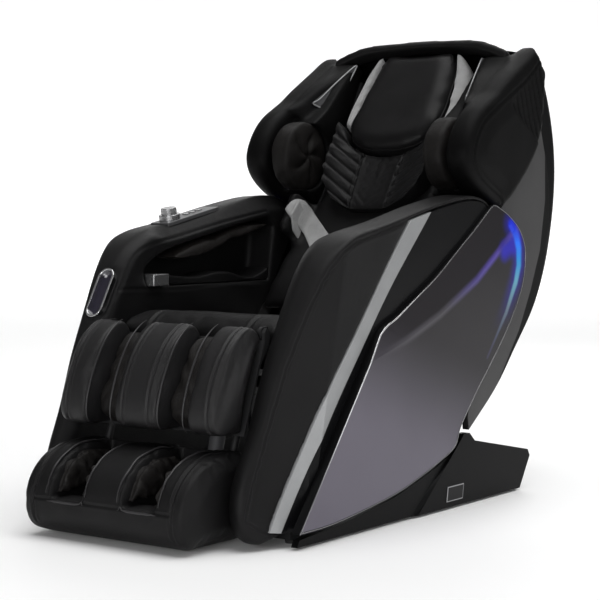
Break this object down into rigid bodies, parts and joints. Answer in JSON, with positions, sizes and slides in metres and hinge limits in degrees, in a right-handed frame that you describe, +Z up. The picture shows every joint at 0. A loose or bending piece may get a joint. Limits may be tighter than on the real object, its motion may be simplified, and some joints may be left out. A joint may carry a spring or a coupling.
{
  "type": "massage chair",
  "caption": "Reclining massage armchair with padded wings, leg and foot wells, tall leather armrests with a silver slash, moulded side shells and a low base.",
  "frame": {"origin": "bottom centre of the bounding box, on the floor between the feet", "axes": "+Z up, the sitter faces -Y, +X is the sitter's left"},
  "size_m": [0.78, 1.5341, 1.22],
  "materials": {
    "shell_black": "semi-gloss moulded side shells and covers",
    "shell_grey": "smooth metallic grey rear sides",
    "back_black": "matt moulded back cover and base",
    "leather_black": "fine-grained black upholstery",
    "fabric_silver": "silver-grey upholstery panels",
    "stripe_silver": "satin silver paint",
    "silver_plastic": "silver-painted moulding",
    "bag_brown": "dark brown airbag cloth",
    "light_strip": "blue light diffuser",
    "frame_steel": "black powder coat",
    "rod_steel": "turned steel",
    "rubber_black": "rubber",
    "drive_grey": "motor and case mouldings",
    "board_wood": "plywood",
    "grille_dark": "speaker grille"
  },
  "bodies": {
    "base": {"base_frame": "frame_steel", "base_cover_left": "back_black", "base_cover_right": "back_black", "base_rear_panel": "back_black", "badge_plates": "stripe_silver", "base_feet": "rubber_black", "air_pump": "drive_grey", "control_box": "drive_grey", "power_inlet": "grille_dark", "tilt_actuator": "drive_grey"},
    "wheels": {"transport_wheels": "rubber_black"},
    "rocker": {"power_switch": "grille_dark"},
    "tilt_drive_rod": {"tilt_rod": "rod_steel"},
    "seat": {"seat_frame": "frame_steel", "seat_cushion": "leather_black", "arm_boards": "board_wood", "arm_cover_left": "leather_black", "arm_cover_right": "leather_black", "silver_stripes": "stripe_silver", "infill_panels": "shell_black", "side_shell_left": "shell_black", "side_shell_right": "shell_black", "led_strips": "light_strip", "arm_airbags": "bag_brown", "arm_trays": "leather_black", "hand_rest_caps": "silver_plastic", "pocket_bezel": "silver_plastic", "pocket_insert": "grille_dark", "control_panel": "shell_black", "recline_actuator": "drive_grey"},
    "knob": {"knob": "silver_plastic"},
    "button_1": {"button_1": "silver_plastic"},
    "button_2": {"button_2": "silver_plastic"},
    "button_3": {"button_3": "silver_plastic"},
    "recline_drive_rod": {"recline_rod": "rod_steel"},
    "legrest": {"legrest_frame": "frame_steel", "calf_pad_left": "leather_black", "calf_pad_centre": "leather_black", "calf_pad_right": "leather_black", "calf_airbags": "bag_brown"},
    "footrest": {"foot_box": "leather_black", "foot_kick_cover": "shell_black", "foot_liners": "bag_brown"},
    "foot_rollers": {"foot_rollers": "rubber_black"},
    "back": {"back_frame": "frame_steel", "back_cover": "back_black", "side_panel_left": "shell_grey", "side_panel_right": "shell_grey", "wing_left": "leather_black", "wing_right": "leather_black", "back_cushion": "leather_black", "back_pad": "leather_black", "pillow": "leather_black", "pillow_sides": "fabric_silver", "shoulder_airbags": "leather_black", "lumbar_trims": "fabric_silver", "hood": "leather_black", "speakers": "grille_dark"},
    "carriage": {"massage_carriage": "drive_grey"},
    "kneading_shaft": {"kneading_rollers": "rubber_black"}
  },
  "joints": [
    {"name": "seat_tilt", "type": "hinge", "parent": "base", "child": "seat", "pos_m": [0, 0.0835, 0.23], "axis": [-1, 0, 0], "range_deg": [0, 10]},
    {"name": "back_recline", "type": "hinge", "parent": "seat", "child": "back", "pos_m": [0, 0.1885, 0.4], "axis": [-1, 0, 0], "range_deg": [0, 40]},
    {"name": "leg_lift", "type": "hinge", "parent": "seat", "child": "legrest", "pos_m": [0, -0.4665, 0.47], "axis": [-1, 0, 0], "range_deg": [0, 75]},
    {"name": "foot_extend", "type": "slide", "parent": "legrest", "child": "footrest", "axis": [0, -0.342, -0.9397], "range_m": [0, 0.08]},
    {"name": "foot_roller_spin", "type": "hinge", "parent": "footrest", "child": "foot_rollers", "pos_m": [0, -0.6585, 0.068], "axis": [1, 0, 0], "continuous": true},
    {"name": "carriage_travel", "type": "slide", "parent": "back", "child": "carriage", "axis": [0, 0.6004, 0.7997], "range_m": [-0.055, 0.47]},
    {"name": "kneading_spin", "type": "hinge", "parent": "carriage", "child": "kneading_shaft", "pos_m": [0, 0.32499, 0.58069], "axis": [1, 0, 0], "continuous": true},
    {"name": "knob_turn", "type": "hinge", "parent": "seat", "child": "knob", "pos_m": [-0.309, -0.15291, 0.72187], "axis": [0, -0.1994, 0.9799], "range_deg": [-150, 150]},
    {"name": "button_1_press", "type": "slide", "parent": "seat", "child": "button_1", "axis": [0, 0.1994, -0.9799], "range_m": [0, 0.0015], "stiffness_N_per_m": 700, "springref_m": -0.0007},
    {"name": "button_2_press", "type": "slide", "parent": "seat", "child": "button_2", "axis": [0, 0.1994, -0.9799], "range_m": [0, 0.0015], "stiffness_N_per_m": 700, "springref_m": -0.0007},
    {"name": "button_3_press", "type": "slide", "parent": "seat", "child": "button_3", "axis": [0, 0.1994, -0.9799], "range_m": [0, 0.0015], "stiffness_N_per_m": 700, "springref_m": -0.0007},
    {"name": "recline_drive", "type": "slide", "parent": "seat", "child": "recline_drive_rod", "axis": [0, -1, 0], "range_m": [0, 0.0755]},
    {"name": "tilt_drive", "type": "slide", "parent": "base", "child": "tilt_drive_rod", "axis": [0, 0.2576, 0.9663], "range_m": [0, 0.0712]},
    {"name": "wheel_spin", "type": "hinge", "parent": "base", "child": "wheels", "pos_m": [0, 0.3635, 0.026], "axis": [1, 0, 0], "continuous": true},
    {"name": "rocker_tip", "type": "hinge", "parent": "base", "child": "rocker", "pos_m": [-0.224, 0.4795, 0.025], "axis": [1, 0, 0], "range_deg": [-8, 8]}
  ],
  "couplings": [
    {"joint": "foot_extend", "follows": "leg_lift", "m_per_rad": 0.061},
    {"joint": "recline_drive", "follows": "back_recline", "m_per_rad": 0.10777},
    {"joint": "tilt_drive", "follows": "seat_tilt", "m_per_rad": 0.4056}
  ]
}
